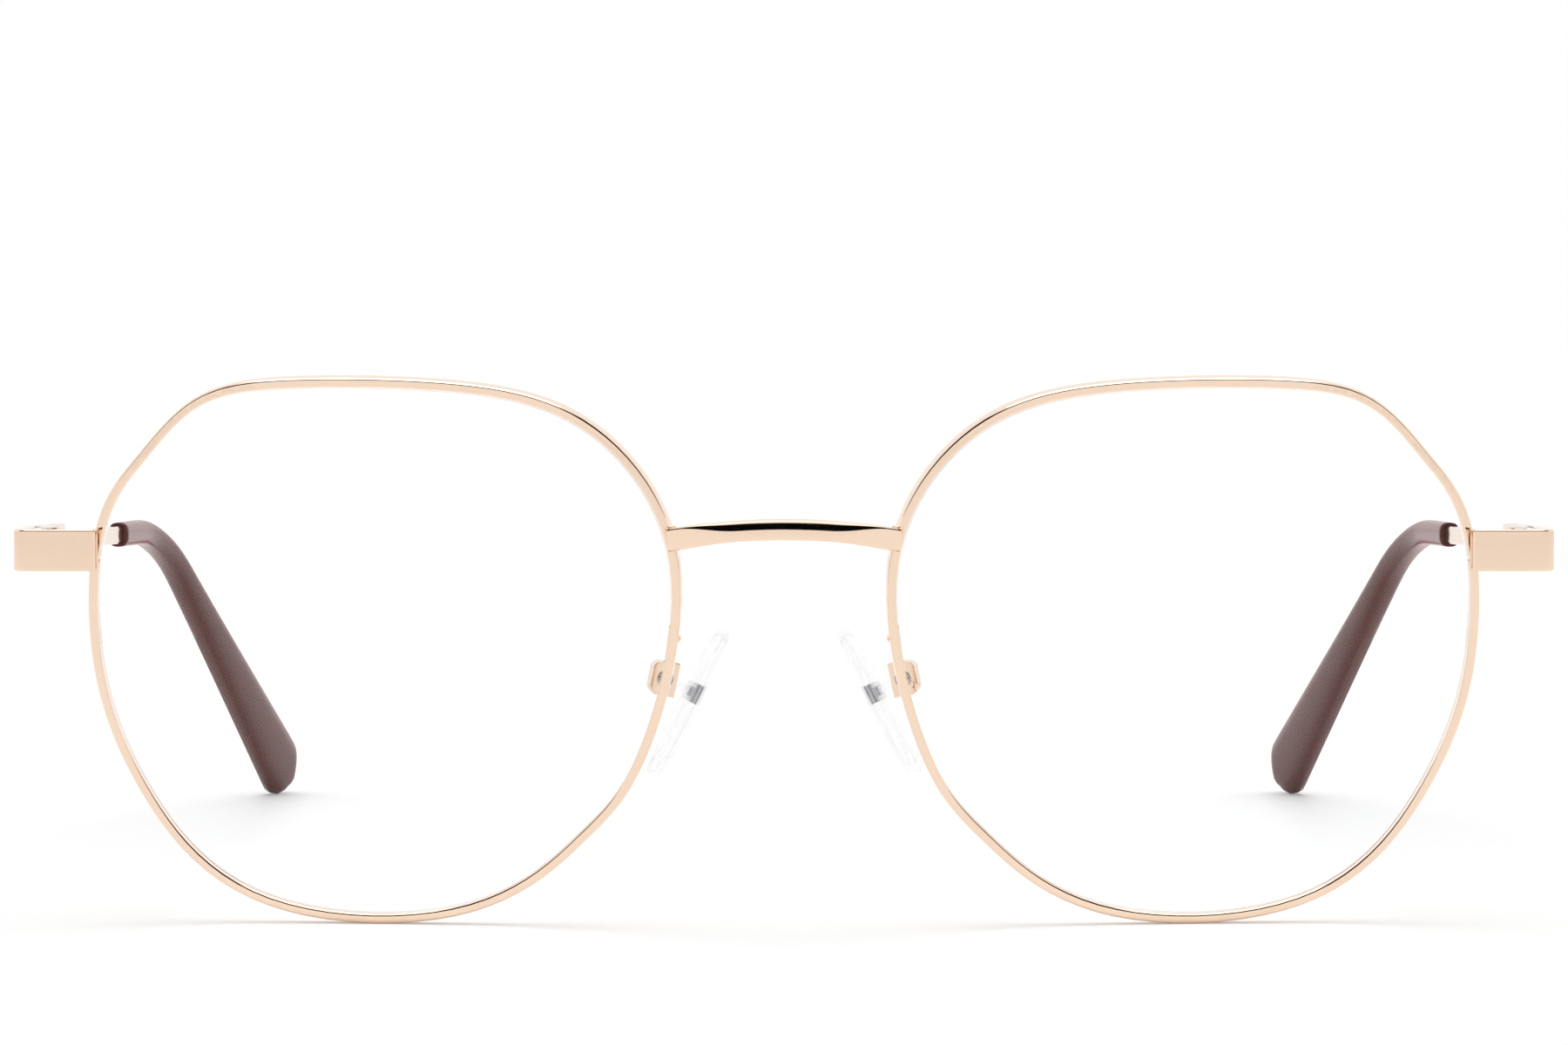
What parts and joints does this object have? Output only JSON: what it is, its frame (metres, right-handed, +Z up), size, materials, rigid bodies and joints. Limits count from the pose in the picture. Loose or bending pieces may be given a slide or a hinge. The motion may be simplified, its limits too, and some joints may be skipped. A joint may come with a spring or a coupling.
{
  "type": "eyeglasses",
  "caption": "Full-rim metal eyeglasses with geometric lenses, folding temples with plastic tips, and rocking nose pads on wire arms.",
  "frame": {"origin": "on the table, under the middle of the outer box of the open glasses", "axes": "+X to the wearer's left, +Y from the front back along the temples, +Z up"},
  "size_m": [0.1402, 0.153, 0.0503],
  "materials": {
    "plated_metal": "polished pale gold plating",
    "steel": "plain steel screws",
    "lens": "clear, uncoloured, polished",
    "pad": "clear plastic, soft in the pads and hard in their lugs",
    "tip": "satin brown, slightly see-through at its front"
  },
  "bodies": {
    "front": {"rim_right": "plated_metal", "rim_left": "plated_metal", "end_piece_right": "plated_metal", "end_piece_left": "plated_metal", "closing_block_upper_right": "plated_metal", "closing_block_upper_left": "plated_metal", "closing_block_lower_right": "plated_metal", "closing_block_lower_left": "plated_metal", "pad_arm_right": "plated_metal", "pad_arm_left": "plated_metal", "pad_box_right": "plated_metal", "pad_box_left": "plated_metal", "front_hinge_right": "plated_metal", "front_hinge_left": "plated_metal", "bridge": "plated_metal", "closing_screw_right": "steel", "closing_screw_left": "steel", "pad_screw_right": "steel", "pad_screw_left": "steel", "hinge_screw_right": "steel", "hinge_screw_left": "steel", "lens_right": "lens", "lens_left": "lens"},
    "temple_right": {"temple_right": "plated_metal", "temple_tip_right": "tip", "temple_hinge_right": "plated_metal"},
    "pad_right": {"nose_pad_right": "pad", "pad_lug_right": "pad"},
    "temple_left": {"temple_left": "plated_metal", "temple_tip_left": "tip", "temple_hinge_left": "plated_metal"},
    "pad_left": {"nose_pad_left": "pad", "pad_lug_left": "pad"}
  },
  "joints": [
    {"name": "temple_right_fold", "type": "hinge", "parent": "front", "child": "temple_right", "pos_m": [-0.06768, -0.062, 0.03436], "axis": [0, 0, -1], "range_deg": [0, 78]},
    {"name": "temple_left_fold", "type": "hinge", "parent": "front", "child": "temple_left", "pos_m": [0.06768, -0.062, 0.03436], "axis": [0, 0, 1], "range_deg": [0, 84]},
    {"name": "pad_right_rock", "type": "hinge", "parent": "front", "child": "pad_right", "pos_m": [-0.01109, -0.06374, 0.02231], "axis": [-0.1392, 0.9903, 0], "range_deg": [-10, 10]},
    {"name": "pad_left_rock", "type": "hinge", "parent": "front", "child": "pad_left", "pos_m": [0.01109, -0.06374, 0.02231], "axis": [0.1392, 0.9903, 0], "range_deg": [-10, 10]}
  ]
}
